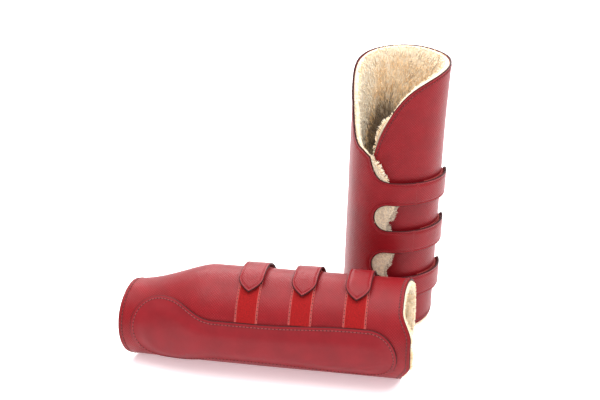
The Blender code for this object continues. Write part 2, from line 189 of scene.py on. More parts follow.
SHADE_TOP = 0.263         # the painted brown shade inside reaches up to here at this angle
SHADE_ANGLE = 208
SHADE_TOP_LEAST = 0.165

# stage, lights and camera
FLOOR_SIZE = 80
# the floor glows pink: painted light that lifts the shadows under the boots and tints them pink, as light
# bounced off the red leather would
FLOOR_LOOK = {"Base Color": (0.92, 0.92, 0.925, 1), "Roughness": 0.6, "Specular IOR Level": 0.2,
              "Emission Color": (1.0, 0.79, 0.84, 1), "Emission Strength": 0.45}
WORLD_STRENGTH = 0.68
LIGHTS = (("overhead", (-0.3, -0.2, 1.7), (0, 0, 0.1), (1.8, 1.4), 38),
          ("right", (0.95, 0.15, 1.35), (0.1, 0.1, 0.22), (0.8, 0.8), 13),
          ("behind", (-0.2, 1.5, 1.2), (0, 0, 0.1), (2.0, 0.9), 32),
          ("front", (0.9, -1.6, 1.1), (0, 0, 0.12), (1.2, 1.0), 6))
CAMERA_LENS = (60, 36)    # focal length and frame, in millimetres
CAMERA_PLACE = (0.0881, -1.0243, 0.5261)
CAMERA_TURN = (90 - 20.9, 0.0, 10.4)


def metres(angle):
    return math.radians(1) * np.asarray(angle, float) * MEAN_RADIUS


def degrees(s):
    return np.degrees(np.asarray(s, float) / MEAN_RADIUS)


def smoothstep(x):
    x = np.clip(x, 0.0, 1.0)
    return x * x * (3 - 2 * x)


def wrap_radius(angle):
    """The wrap's outer face: it grows from the tucked edge, is round, and climbs over the tucked edge."""
    overlap = 360 + TUCK_ANGLE
    opening = ROUND_ANGLES[0] - TUCK_ANGLE
    growth = ROUND_RADIUS - TUCKED_RADIUS
    turned = np.where(angle >= overlap, angle - 360, angle)
    first = TUCKED_RADIUS + growth * np.sin(np.clip((turned - TUCK_ANGLE) / opening, 0, 1) * math.pi / 2)
    span = overlap - ROUND_ANGLES[1]
    t = np.clip((turned - ROUND_ANGLES[1]) / span, 0, 1)
    climb = TUCKED_RADIUS + SPIRAL_RISE - ROUND_RADIUS
    final_slope = growth / opening * math.pi / 2 * span
    climbing = climb * (3 * t**2 - 2 * t**3) + final_slope * (t**3 - t**2)
    return np.where(angle >= overlap, first + SPIRAL_RISE, first + climbing)


def face_radius(angle):
    """The leather's outer face. Past the front edge it is the straps'."""
    angle = np.asarray(angle, float)
    past = np.clip(angle - FRONT_ANGLE, 0, None)
    return np.where(angle > FRONT_ANGLE, wrap_radius(past) + strap_lift(past), wrap_radius(angle))


def strap_lift(angle):
    return STRAP_LIFT + (SPIRAL_RISE - STRAP_LIFT) * (1 - smoothstep(np.asarray(angle) / STRAP_EASE_ANGLE))


def lower_edge(angle, drop=0.0):
    from_front = np.minimum(np.abs(angle), np.abs(angle - FRONT_ANGLE))
    lobe = FRONT_LOBE * smoothstep(1 - (from_front - FRONT_LOBE_FLAT) / FRONT_LOBE_FADE)
    from_tendon = np.abs(angle - LOBE_ANGLE)
    lobe = np.maximum(lobe, smoothstep(1 - (from_tendon - LOBE_FLAT) / LOBE_FADE))
    return np.maximum(0.0, SCALLOP * (1 - lobe) - drop)


class Boot:
    """Where a boot stands and how it is curled, read back from its flap's joint."""

    def __init__(self, name, hand, curl, flare, lean, rows, joint):
        self.name = name
        self.hand = hand
        self.curl = curl
        self.flare = flare
        self.lean = lean
        self.rows = np.array(rows, float)
        self.origin = np.zeros(3)
        hinge = next(item for item in frame["record"]["behaviour"]["joints"] if item["name"] == joint)
        self.origin = np.array(hinge["pos_m"]) - self.wrap(metres(HINGE_ANGLE), 0.1, 0.0)[0]

    def wrap(self, s, z, offset):
        """Points of the flat sheets, offset from the leather's outer face, in the row frame."""
        s, z, offset = (np.atleast_1d(np.asarray(item, float)) for item in (s, z, offset))
        angle = degrees(s)
        depth = np.clip((HEIGHT - z) / CURL_LENGTH, 0, 1)
        curl = self.curl * (1 - depth ** 2) ** CURL_EASE
        rest = math.radians(REST_ANGLE)
        turn = rest + np.radians(angle - REST_ANGLE) * MEAN_RADIUS / (MEAN_RADIUS - curl)
        flare = self.flare * smoothstep((z - FLARE_HEIGHT) / (HEIGHT - FLARE_HEIGHT))
        radius = face_radius(angle) + offset - curl + flare
        across = radius * np.sin(turn) + curl * math.sin(rest)
        forward = radius * np.cos(turn) + curl * math.cos(rest)
        local = np.stack(np.broadcast_arrays(self.hand * across + self.lean[0] * z,
                                             self.lean[1] * z - forward, z), axis=-1)
        return local @ self.rows.T + self.origin


ROLL = math.radians(REST_ANGLE - 180)
LYING = ((0, 0, -1), (math.cos(ROLL), -math.sin(ROLL), 0), (-math.sin(ROLL), -math.cos(ROLL), 0))
left = Boot("left", 1, 0.0, 0.0015, (0.0261, 0.0128), np.eye(3), "left_shell_open")
right = Boot("right", -1, 0.011, 0.0, (0.0, 0.0), LYING, "right_flap_open")


# ---- outlines in the flat -------------------------------------------------------------
def smooth(points, step=STEP):
    """A smooth curve through (angle, height) points, as evenly spaced (s, z) points."""
    points = np.array(points, float)
    points[:, 0] = metres(points[:, 0])
    knots = np.concatenate([[0], np.cumsum(np.linalg.norm(np.diff(points, axis=0), axis=1))])
    slopes = np.gradient(points, knots, axis=0)
    x = np.linspace(0, knots[-1], max(2, int(round(knots[-1] / step)) + 1))
    i = np.clip(np.searchsorted(knots, x, "right") - 1, 0, len(knots) - 2)
    span = (knots[i + 1] - knots[i])[:, None]
    t = ((x - knots[i]) / span[:, 0])[:, None]
    return ((2 * t**3 - 3 * t**2 + 1) * points[i] + (t**3 - 2 * t**2 + t) * span * slopes[i]
            + (3 * t**2 - 2 * t**3) * points[i + 1] + (t**3 - t**2) * span * slopes[i + 1])


def line(start, end, step=STEP):
    """Evenly spaced points on a straight line between two (s, z) points, both ends included."""
    start, end = np.array(start, float), np.array(end, float)
    count = max(1, int(round(np.linalg.norm(end - start) / step)))
    return start + (end - start) * np.linspace(0, 1, count + 1)[:, None]


def lower_line(start, end, drop=0.0):
    s = np.linspace(metres(start), metres(end), max(2, int(abs(metres(end) - metres(start)) / STEP)))
    return np.stack([s, lower_edge(degrees(s), drop)], axis=1)


def arc(centre, radius, start, end):
    count = max(6, int(abs(end - start) * radius / STEP))
    turn = np.linspace(start, end, count + 1)
    return np.stack([centre[0] + radius * np.cos(turn), centre[1] + radius * np.sin(turn)], axis=1)


def cut_at(path, s):
    """The two halves of a path whose s only grows, cut at s."""
    height = np.interp(s, path[:, 0], path[:, 1])
    joint = np.array([[s, height]])
    before = path[path[:, 0] < s - STEP / 3]
    after = path[path[:, 0] > s + STEP / 3]
    return np.vstack([before, joint]), np.vstack([joint, after])


def join(*stretches):
    """One closed outline from (path, is_cut) stretches, with the doubled corners left out."""
    points, cuts = [], []
    for path, is_cut in stretches:
        for point in path:
            if points and np.linalg.norm(point - points[-1]) < STEP / 5:
                cuts[-1] = cuts[-1] or is_cut
                continue
            points.append(np.array(point, float))
            cuts.append(is_cut)
    if np.linalg.norm(points[0] - points[-1]) < STEP / 5:
        cuts[0] = cuts[0] or cuts[-1]
        points.pop()
        cuts.pop()
    return np.array(points), np.array(cuts)


def inset(outline, distance):
    """The outline moved inwards. distance may be one number or one for each point."""
    edge = np.roll(outline, -1, axis=0) - outline
    edge /= np.linalg.norm(edge, axis=1)[:, None]
    normal = np.stack([-edge[:, 1], edge[:, 0]], axis=1)
    before = np.roll(normal, 1, axis=0)
    middle = normal + before
    middle /= np.maximum((middle * middle).sum(axis=1), 0.8)[:, None] / 2
    return outline + middle * np.broadcast_to(distance, (len(outline),))[:, None]


def depth_inside(points, outline):
    """Distance of each point from the outline, positive inside it."""
    a = outline
    b = np.roll(outline, -1, axis=0)
    result = np.empty(len(points))
    for first in range(0, len(points), BATCH):
        p = points[first:first + BATCH, None]
        ab = b - a
        t = np.clip(((p - a) * ab).sum(-1) / (ab * ab).sum(-1), 0, 1)
        near = np.linalg.norm(p - (a + ab * t[..., None]), axis=-1).min(axis=1)
        crosses = (a[:, 1] > p[..., 1]) != (b[:, 1] > p[..., 1])
        rise = np.where(ab[:, 1] == 0, 1, ab[:, 1])
        at = a[:, 0] + (p[..., 1] - a[:, 1]) * ab[:, 0] / rise
        inside = (crosses & (p[..., 0] < at)).sum(axis=1) % 2 == 1
        result[first:first + BATCH] = np.where(inside, near, -near)
    return result


def fill(outline, spacing):
    """Points and triangles that fill an outline. The first points are the outline's own."""
    low, high = outline.min(axis=0), outline.max(axis=0)
    rows = np.arange(low[1], high[1], spacing * ROW_SHARE)
    columns = np.arange(low[0], high[0], spacing)
    s, z = np.meshgrid(columns, rows)
    s[1::2] += spacing / 2
    grid = np.stack([s.ravel(), z.ravel()], axis=1)
    grid = grid[depth_inside(grid, outline) > spacing * 0.5]
    points = np.vstack([outline, grid])
    loop = list(range(len(outline)))
    edges = list(zip(loop, loop[1:] + loop[:1]))
    made = delaunay_2d_cdt([Vector(point) for point in points], edges, [], 1, 1e-7)
    verts, faces, originals = made[0], made[2], made[3]
    order = [source[0] if source else -1 for source in originals]
    full = np.vstack([points, np.zeros((len(verts), 2))])
    index = {}
    extra = len(points)
    for i, source in enumerate(order):
        if source >= 0:
            index[i] = source
        else:
            full[extra] = verts[i]
            index[i] = extra
            extra += 1
    triangles = np.array([[index[i] for i in face] for face in faces])
    corners = full[triangles]
    u, v = corners[:, 1] - corners[:, 0], corners[:, 2] - corners[:, 0]
    area = u[:, 0] * v[:, 1] - u[:, 1] * v[:, 0]
    triangles[area < 0] = triangles[area < 0][:, ::-1]
    return full[:extra], triangles[np.abs(area) > 1e-12]


# ---- meshes ---------------------------------------------------------------------------
def add_mesh(name, boot, flat, offsets, faces, skins, kinds=None, sharp_angle=None, uv=None, lowest=None):
    """A mesh object from flat (s, z) points, each one offset from the wrap's outer face.

    faces are in the left boot's order. The flat points are the UV map too, unless uv is given. lowest
    keeps the points above the floor.
    """
    if boot.hand < 0:
        faces = [face[::-1] for face in faces]
    points = boot.wrap(flat[:, 0], flat[:, 1], offsets)
    if lowest is not None:
        points[:, 2] = np.maximum(points[:, 2], lowest)
    mesh = bpy.data.meshes.new(name)
    mesh.from_pydata(points.tolist(), [], faces)
    layer = mesh.uv_layers.new(name="flat")
    corner = np.empty(len(mesh.loops), dtype=np.int32)
    mesh.loops.foreach_get("vertex_index", corner)
    layer.data.foreach_set("uv", np.asarray(flat if uv is None else uv, np.float32)[corner].ravel())
    for item in skins:
        mesh.materials.append(item)
    if kinds is not None:
        mesh.polygons.foreach_set("material_index", np.asarray(kinds, np.int32))
    mesh.shade_smooth()
    if sharp_angle:
        mesh.set_sharp_from_angle(angle=math.radians(sharp_angle))
    mesh.update()
    obj = bpy.data.objects.new(name, mesh)
    bpy.context.scene.collection.objects.link(obj)
    return obj


def merge_doubles(obj):
    """Merges the doubled points that cut edges leave."""
    bm = bmesh.new()
    bm.from_mesh(obj.data)
    bmesh.ops.remove_doubles(bm, verts=bm.verts[:], dist=2e-5)
    bmesh.ops.dissolve_degenerate(bm, edges=bm.edges[:], dist=1e-6)
    bm.to_mesh(obj.data)
    bm.free()


def closed_layer(outline, free, first, rings, offset, spacing, back_spacing):
    """A closed layer: a filled face, rings round its edge and a filled back.

    The face starts this far in (first), rings are (distance in, level) pairs from the face to the back,
    and offset(points, level, free) gives the offsets. Returns flat points, offsets, and the face's, the
    rings' and the back's faces.
    """
    points, triangles = fill(inset(outline, first), spacing)
    flat, offsets, sides = [points], [offset(points, rings[0][1], 1.0)], []
    ring, start, base = len(outline), 0, len(points)
    for distance, level in rings[1:]:
        moved = inset(outline, distance * free)
        flat.append(moved)
        offsets.append(offset(moved, level, free))
        for i in range(ring):
            j = (i + 1) % ring
            sides.append([start + i, base + i, base + j, start + j])
        start, base = base, base + ring
    back, back_triangles = fill(moved, back_spacing)
    flat.append(back[ring:])
    offsets.append(offset(back[ring:], rings[-1][1], 1.0))
    index = np.concatenate([np.arange(ring) + start, np.arange(len(back) - ring) + base])
    back_faces = index[back_triangles][:, [0, 2, 1]].tolist()
    return np.vstack(flat), np.concatenate(offsets), triangles.tolist(), sides, back_faces


def sheet(name, boot, outline, cuts, outer, thickness, skins, creased=True, spacing=FILL, map_shift=0.0):
    """A leather sheet with rounded, painted edges, creased just inside them.

    outer(s, z) gives its outer face's offset from the wrap's outer face, and thickness is its own.
    map_shift moves its UV map on, so that a strap's grain runs on from the flap's.
    """
    rings = [(EDGE_ROUND, 0.0), (EDGE_ROUND * 0.3, -EDGE_ROUND * 0.3), (0.0, -EDGE_ROUND),
             (0.0, EDGE_ROUND - thickness), (EDGE_ROUND * 0.3, EDGE_ROUND * 0.3 - thickness),
             (EDGE_ROUND, -thickness)]
    if creased:
        rings = [(CREASE + CREASE_HALF, 0.0), (CREASE, -CREASE_DEPTH), (CREASE - CREASE_HALF, 0.0)] + rings

    def offset(points, level, free):
        return outer(*points.T) + level * (free if level > -thickness / 4 else 1.0)

    first = np.where(cuts, SEAM_STRIP, rings[0][0])
    flat, offsets, face, sides, back = closed_layer(outline, np.where(cuts, 0.0, 1.0), first, rings, offset,
                                                    spacing, spacing)
    plain = len(outline) * (len(rings) - EDGE_RINGS)
    kinds = [0] * (len(face) + plain) + [1] * (len(sides) - plain) + [2] * len(back)
    obj = add_mesh(name, boot, flat, offsets, face + sides + back, skins, kinds, 50,
                   flat + np.array([map_shift, 0.0]))
    merge_doubles(obj)
    return obj


def tube(sides, spans):
    """The faces round a tube whose points are numbered ring by ring."""
    return [(k + i, k + (i + 1) % sides, k + sides + (i + 1) % sides, k + sides + i)
            for k in range(0, spans * sides, sides) for i in range(sides)]


def repeated(pattern, count, size):
    """The pattern's faces once for each of count grains, which have size points each."""
    return [tuple(first + i for i in face) for first in range(0, count * size, size) for face in pattern]


def beads(name, boot, centres, directions, half_length, radius, heights, material):
    """Small rounded grains lying on the leather, one at each centre: stitches, or holes."""
    sides, last = BEAD_SIDES, (len(BEAD_PROFILE) - 1) * BEAD_SIDES
    turn = np.arange(sides) * 2 * math.pi / sides
    along = directions / np.linalg.norm(directions, axis=1)[:, None]
    side = np.stack([-along[:, 1], along[:, 0]], axis=1)
    flat, offsets = [], []
    for t, size in BEAD_PROFILE:
        ring = centres[:, None] + along[:, None] * t * half_length
        flat.append(ring + side[:, None] * (radius * size * np.cos(turn))[None, :, None])
        offsets.append(heights[:, None] + radius * size * np.sin(turn)[None] * BEAD_FLATNESS)
    pattern = [face[::-1] for face in tube(sides, len(BEAD_PROFILE) - 1)]
    pattern += [tuple(range(sides)), tuple(last + i for i in reversed(range(sides)))]
    return add_mesh(name, boot, np.stack(flat, axis=1).reshape(-1, 2), np.stack(offsets, axis=1).ravel(),
                    repeated(pattern, len(centres), last + sides), [material])


def path_lengths(path):
    return np.concatenate([[0], np.cumsum(np.linalg.norm(np.diff(path, axis=0), axis=1))])


def path_points(path, lengths, at):
    return np.stack([np.interp(at, lengths, path[:, i]) for i in (0, 1)], axis=1)


def stitch_line(name, boot, path, outer, slot, closed=False, thread="thread"):
    """A row of stitches along a path, and dark beads that paint the shade in the holes that they go down
    into.
    """
    if closed:
        path = np.vstack([path, path[:1]])
    lengths = path_lengths(path)
    count = int(lengths[-1] / STITCH_PITCH)
    for label, material, shift, size, radius, rise in (
            ("stitches", thread, 0.5, STITCH / 2, THREAD, STITCH_RISE),
            ("holes", "hole_shade", 0.0, HOLE, HOLE * 0.8, -STITCH_RISE)):
        at = (np.arange(count) + shift) * lengths[-1] / count
        centres, ahead, behind = (path_points(path, lengths, at + step) for step in (0.0, 0.001, -0.001))
        heights = outer(*centres.T) + radius * rise
        row = beads(f"{name}_{label}", boot, centres, ahead - behind, size, radius, heights,
                    materials[material])
        declare(row, boot, slot)


# ---- bodies ---------------------------------------------------------------------------
def bend(piece, boot, angle, half_angle, height, offset=0.0):
    """Bakes the piece's transform and finds the points on each side of the line at this angle; it does not
    bend the piece.
    """
    start, end = (tuple(boot.wrap(metres(place), height, offset)[0])
                  for place in (angle - half_angle, angle + half_angle))
    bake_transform(piece)
    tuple(start)
    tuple(end)


def declare(piece, boot, slot, *stands_for, body="shell"):
    """Hides the CAD nodes that the piece stands for and attaches it to its body; a flap piece only goes to
    bend, which does not bend it. slot is not used.
    """
    if stands_for:
        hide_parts(*(f"{boot.name}_{node}" for node in stands_for))
    if body == "flap":
        bend(piece, boot, HINGE_ANGLE, BEND_HALF_ANGLE, BEND_HEIGHT)
    elif body:
        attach(piece, f"{boot.name}_{body}")


# ---- materials ------------------------------------------------------------------------
class Graph:
    """A material's nodes, with short calls for the ones used here.

    vector holds the flat coordinates, in millimetres unless scale says otherwise, and x and y are its two
    numbers. settings are the shader's own values, with _ for each space in a name.
    """

    def __init__(self, name, scale=1000.0, **settings):
        self.material = bpy.data.materials.new(name)
        self.material.use_nodes = True
        self.tree = self.material.node_tree
        self.shader = self.put_all(self.tree.nodes["Principled BSDF"], settings)
        uv = self.tree.nodes.new("ShaderNodeUVMap")
        uv.uv_map = "flat"
        scaled = self.tree.nodes.new("ShaderNodeVectorMath")
        scaled.operation = "SCALE"
        self.put(scaled.inputs[0], uv.outputs[0])
        self.put(scaled.inputs["Scale"], scale)
        self.vector = scaled.outputs[0]
        self.x, self.y, _ = self.node("SeparateXYZ", Vector=self.vector).outputs

    def put(self, socket, value):
        if isinstance(value, bpy.types.NodeSocket):
            self.tree.links.new(value, socket)
        else:
            socket.default_value = value

    def put_all(self, node, values):
        for key, value in values.items():
            self.put(node.inputs[key.replace("_", " ")], value)
        return node

    def node(self, kind, **inputs):
        return self.put_all(self.tree.nodes.new("ShaderNode" + kind), inputs)

    def math(self, operation, a, b=0.0):
        made = self.tree.nodes.new("ShaderNodeMath")
        made.operation = operation
        self.put(made.inputs[0], a)
        self.put(made.inputs[1], b)
        return made.outputs[0]

    def times(self, a, b):
        return self.math("MULTIPLY", a, b)

    def plus(self, a, b):
        return self.math("ADD", a, b)

    def wave(self, value, pitch):
        return self.math("SINE", self.times(value, pitch))

    def noise(self, scale, detail=3.0, roughness=0.55):
        made = self.node("TexNoise", Vector=self.vector, Scale=scale, Detail=detail, Roughness=roughness)
        return made.outputs["Fac"]

    def mix(self, factor, a, b):
        made = self.tree.nodes.new("ShaderNodeMix")
        made.data_type = "RGBA"
        return self.put_all(made, {"Factor": factor, "A": a, "B": b}).outputs["Result"]

    def band(self, value, low, high, to_low=0.0, to_high=1.0):
        return self.node("MapRange", Value=value, From_Min=low, From_Max=high, To_Min=to_low,
                         To_Max=to_high).outputs[0]

    def bump(self, height, strength, distance, normal=None):
        made = self.node("Bump", Height=height, Strength=strength, Distance=distance)
        if normal is not None:
            self.put(made.inputs["Normal"], normal)
        return made.outputs[0]

    def finish(self, colour, normal=None):
        self.put(self.shader.inputs["Base Color"], colour)
        if normal is not None:
            self.put(self.shader.inputs["Normal"], normal)
        return self.material


def shade(colour, factor):
    return tuple(min(1.0, channel * factor) for channel in colour[:3]) + (1.0,)


def leather_material(name, colour, roughness, hatch):
    """Red calf leather. hatch is how strongly the crossed diagonal grain is pressed in, and how strongly
    painted shade darkens its grooves and painted highlights lighten its ridges in random patches.
    """
    graph = Graph(name, Roughness=roughness, Specular_IOR_Level=0.20, Coat_Weight=0.04, Coat_Roughness=0.26)
    pores = graph.noise(1.3, 3, 0.6)
    wander = graph.times(graph.noise(0.25, 2), 1.6)
    rising, falling = (graph.wave(graph.plus(graph.math(direction, graph.x, graph.y), wander), HATCH_PITCH)
                       for direction in ("ADD", "SUBTRACT"))
    weave = graph.plus(graph.times(rising, 0.56), graph.times(falling, 0.44))
    tone = graph.mix(graph.band(graph.noise(0.045, 4), 0.35, 0.65), shade(colour, 0.90), shade(colour, 1.08))
    if hatch:
        # painted highlights on the grain's ridges, in random patches, and painted shade in its grooves
        highlight_patches = graph.band(graph.noise(0.05, 3), 0.44, 0.64, 0.06, 1.0)
        groove_shade = graph.times(graph.band(weave, 0.0, -0.9), 0.45 * hatch)
        tone = graph.mix(groove_shade, tone, shade(colour, 0.50))
        ridge_highlight = graph.times(graph.band(weave, 0.35, 0.95), graph.times(highlight_patches, 0.60 * hatch))
        highlight_colour = tuple(channel * factor for channel, factor in zip(colour, RIDGE_HIGHLIGHT_TINT)) + (1.0,)
        tone = graph.mix(ridge_highlight, tone, highlight_colour)
    tone = graph.mix(graph.times(graph.band(pores, 0.62, 0.8), 0.3), tone, shade(colour, 0.6))
    soft = graph.bump(graph.noise(0.16, 3), 0.16, 0.0012)
    grain = graph.bump(pores, 0.25, 0.00025, soft)
    return graph.finish(tone, graph.bump(weave, 0.55 * hatch, 0.00024, grain) if hatch else grain)


def edge_material():
    """Dark, slightly uneven edge paint."""
    graph = Graph("edge_paint", Roughness=0.55, Specular_IOR_Level=0.15)
    tone = graph.mix(graph.noise(0.5), (0.026, 0.004, 0.005, 1), (0.055, 0.008, 0.009, 1))
    return graph.finish(tone, graph.bump(graph.noise(2.0), 0.3, 0.0002))


def suede_material():
    """The unfinished back of the leather."""
    graph = Graph("leather_back", Roughness=0.9)
    tone = graph.mix(graph.noise(0.9, 5), (0.16, 0.012, 0.014, 1), (0.25, 0.022, 0.024, 1))
    return graph.finish(tone, graph.bump(graph.noise(2.4, 4), 0.4, 0.0003))


def skin_material(name, shade_inside):
    """Close, matted wool at the foot of the pile. With its flag set, it is darkened to brown with painted
    shade down inside the boot.
    """
    graph = Graph(name, Roughness=0.95, Sheen_Weight=0.3)
    matted = graph.band(graph.noise(0.30, 5, 0.65), 0.3, 0.7)
    tone = graph.mix(matted, (0.78, 0.60, 0.38, 1), (0.93, 0.83, 0.66, 1))
    if shade_inside:
        # painted shade: brown from about 45 to 250 mm up, inside the boot
        painted_shade = graph.mix(matted, (0.16, 0.10, 0.055, 1), (0.30, 0.21, 0.12, 1))
        inside = graph.times(graph.band(graph.y, 250, 205), graph.band(graph.y, 45, 110))
        tone = graph.mix(inside, tone, painted_shade)
    return graph.finish(tone, graph.bump(graph.noise(1.4, 5, 0.7), 0.7, 0.0008))


def wool_material(name, *pairs):
    """The locks of wool: a brown tone for painted shade, then warm and white tones, each as its root's and
    its tip's colour.

    In their UV map x is a lock's tone, from 0 (the brown of painted shade) to 1 (white), and y runs from 0 at
    its root to 1.
    """
    graph = Graph(name, 1.0, Roughness=0.85, Sheen_Weight=0.35, Sheen_Roughness=0.5)
    shaded, warm, white = (graph.mix(graph.band(graph.y, 0.0, 0.85), *pair) for pair in pairs)
    low = graph.mix(graph.band(graph.x, 0.0, 0.5), shaded, warm)
    return graph.finish(graph.mix(graph.band(graph.x, 0.5, 1.0), low, white))


def tape_material(name, colour, scale):
    """Napped or hooked tape: a dense fuzz over a woven ground."""
    graph = Graph(name, Roughness=0.9, Specular_IOR_Level=0.2, Sheen_Weight=0.12,
                  Sheen_Tint=(1.0, 0.35, 0.3, 1.0))
    fuzz = graph.noise(scale, 6, 0.75)
    tone = graph.mix(graph.band(fuzz, 0.35, 0.7), shade(colour, 0.55), shade(colour, 1.25))
    return graph.finish(tone, graph.bump(fuzz, 0.9, 0.0008))


def twisted_material(name, roughness, slant, pitch, depth, dark, light):
    """Twill or twisted thread: fine slanting ribs, depth being their bump's (strength, distance)."""
    graph = Graph(name, Roughness=roughness)
    across = graph.times(graph.y, slant) if slant != 1 else graph.y
    ribs = graph.wave(graph.plus(graph.x, across), pitch)
    return graph.finish(graph.mix(graph.band(ribs, -1, 1), dark, light), graph.bump(ribs, *depth))


def thread_material(name, dark, light):
    return twisted_material(name, 0.5, 1, 14.0, (0.4, 0.0001), dark, light)


def plain_material(name, colour, roughness):
    graph = Graph(name, Roughness=roughness)
    return graph.finish(graph.mix(graph.noise(0.8), shade(colour, 0.85), shade(colour, 1.1)))


materials = {
    "leather": leather_material("leather", RED, 0.39, 0.85),
    "pad": leather_material("pad_leather", PAD_RED, 0.48, 0.0),
    "edge": edge_material(),
    "back": suede_material(),
    "skin": skin_material("fleece_base", False),
    "shaded_skin": skin_material("fleece_base_shaded", True),
    "wool": wool_material("fleece_wool",
                          # the first pair is the brown of painted shade deep inside the boot
                          ((0.13, 0.085, 0.045, 1), (0.27, 0.185, 0.105, 1)),
                          ((0.95, 0.56, 0.22, 1), (1.0, 0.74, 0.41, 1)),
                          ((0.99, 0.84, 0.58, 1), (1.0, 0.94, 0.81, 1))),
    # wool on the flap lining's outer face and front edge, darkened with painted shade where the straps shade
    # it
    "shaded_wool": wool_material("fleece_shaded_wool",
                                  ((0.26, 0.20, 0.14, 1), (0.40, 0.32, 0.24, 1)),
                                  ((0.46, 0.35, 0.24, 1), (0.66, 0.54, 0.40, 1)),
                                  ((0.66, 0.54, 0.40, 1), (0.88, 0.78, 0.63, 1))),
    "loop": tape_material("loop_pile", (0.29, 0.0042, 0.0050), 0.75),
    "hook": tape_material("hook_pile", (0.20, 0.006, 0.008), 2.4),
    "selvage": twisted_material("tape_selvage", 0.75, 0.6, 9.0, (0.5, 0.0002),
                                (0.31, 0.022, 0.020, 1), (0.52, 0.075, 0.062, 1)),
    "thread": thread_material("thread", (0.15, 0.010, 0.012, 1), (0.34, 0.050, 0.050, 1)),
    "dark_thread": thread_material("dark_thread", (0.110, 0.007, 0.009, 1), (0.190, 0.016, 0.018, 1)),
    # dark beads painted for the shade in the stitch holes
    "hole_shade": plain_material("stitch_hole_shade", (0.035, 0.006, 0.006), 0.8),
}
LEATHER_SET = [materials["leather"], materials["edge"], materials["back"]]
PAD_SET = [materials["pad"], materials["edge"], materials["back"]]


# ---- relief ---------------------------------------------------------------------------
class Relief:
    """Smooth random heights over the flat sheets, repeating far outside them."""

    SIZE = 128
    SHIFT = 40

    def __init__(self, spacing):
        self.spacing = spacing
        self.values = rng.uniform(-1, 1, (self.SIZE, self.SIZE))

    def __call__(self, s, z):
        x, y = (np.asarray(item) / self.spacing + self.SHIFT for item in (s, z))
        i, j = np.floor(x).astype(int), np.floor(y).astype(int)
        u, v = smoothstep(x - i), smoothstep(y - j)
        low = self.at(i, j) * (1 - u) + self.at(i + 1, j) * u
        high = self.at(i, j + 1) * (1 - u) + self.at(i + 1, j + 1) * u
        return low * (1 - v) + high * v

    def at(self, i, j):
        return self.values[i % self.SIZE, j % self.SIZE]


broad = Relief(0.030)
clumps = Relief(0.0065)
locks = Relief(0.0030)


def leather_face(s, z):
    """The wrap's outer face: a slow ripple in the leather."""
    return RIPPLE * broad(s, z)


def strap_face(s, z):
    """A strap's outer face, where s starts again from 0 at the front edge."""
    return strap_lift(degrees(s)) + leather_face(np.asarray(s) + FRONT_S, z)


# ---- the wrap -------------------------------------------------------------------------
UPPER_PATH = smooth(RIM + FLAP_TOP)
SEAM_S = float(metres(SEAM_ANGLE))
FRONT_S = float(metres(FRONT_ANGLE))
SHELL_TOP, FLAP_TOP_PATH = cut_at(UPPER_PATH, SEAM_S)


def shell_outline():
    tucked = smooth(TUCKED_EDGE_TOP[1:])
    bottom = lower_line(TUCK_ANGLE, SEAM_ANGLE)
    seam = line(bottom[-1], SHELL_TOP[-1])
    side = line(tucked[0], bottom[0])
    return join((bottom, False), (seam, True), (SHELL_TOP[::-1], False), (tucked[::-1], False), (side, False))


def tongue(height):
    """One strap's root: out along its lower edge, across the cut, and back along its upper edge."""
    end = float(metres(FRONT_ANGLE + STRAP_SEAM_ANGLE))
    low, high = height - STRAP_WIDTH / 2, height + STRAP_WIDTH / 2
    return [(line((FRONT_S, low), (end, low)), False), (line((end, low), (end, high)), True),
            (line((end, high), (FRONT_S, high)), False)]


def flap_outline():
    half = STRAP_WIDTH / 2
    notch = (STRAP_HEIGHTS[0] - STRAP_HEIGHTS[1]) / 2 - half
    side = FRONT_S - notch
    foot = STRAP_HEIGHTS[2] - half - notch
    low = float(lower_edge(FRONT_ANGLE)) + FLAP_CORNER_RADIUS
    stretches = [(lower_line(SEAM_ANGLE, float(degrees(side - FLAP_CORNER_RADIUS))), False),
                 (arc((side - FLAP_CORNER_RADIUS, low), FLAP_CORNER_RADIUS, -math.pi / 2, 0), False),
                 (line((side, low), (side, foot)), False),
                 (arc((FRONT_S, foot), notch, math.pi, math.pi / 2), False)]
    for n in (2, 1, 0):
        stretches += tongue(STRAP_HEIGHTS[n])
        if n:
            middle = (STRAP_HEIGHTS[n] + STRAP_HEIGHTS[n - 1]) / 2
            stretches.append((arc((FRONT_S, middle), notch, 3 * math.pi / 2, math.pi / 2), False))
    root = (FRONT_ANGLE, STRAP_HEIGHTS[0] + half)
    stretches.append((smooth(FLAP_FRONT_TOP + (root,))[::-1], False))
    stretches.append((FLAP_TOP_PATH[::-1], False))
    stretches.append((line(FLAP_TOP_PATH[0], (SEAM_S, float(lower_edge(SEAM_ANGLE)))), True))
    return join(*stretches)


def strap_outline(height):
    """The strap from its seam to its pointed end, whose two sides bow out a little."""
    half = STRAP_WIDTH / 2
    start, end = float(metres(STRAP_SEAM_ANGLE)), float(metres(STRAP_TIP_ANGLE))
    t = np.linspace(0, 1, 14)[:-1]
    s, rise = end - TIP_LENGTH * (1 - t), half * (1 - t ** TIP_FULLNESS)
    lower = np.stack([s, height - rise], axis=1)
    upper = np.stack([s, height + rise], axis=1)[::-1]
    low, high = (start, height - half), (start, height + half)
    return join((line(low, lower[0]), False), (lower, False), ([np.array((end, height))], False),
                (upper, False), (line(upper[-1], high), False), (line(high, low), True))


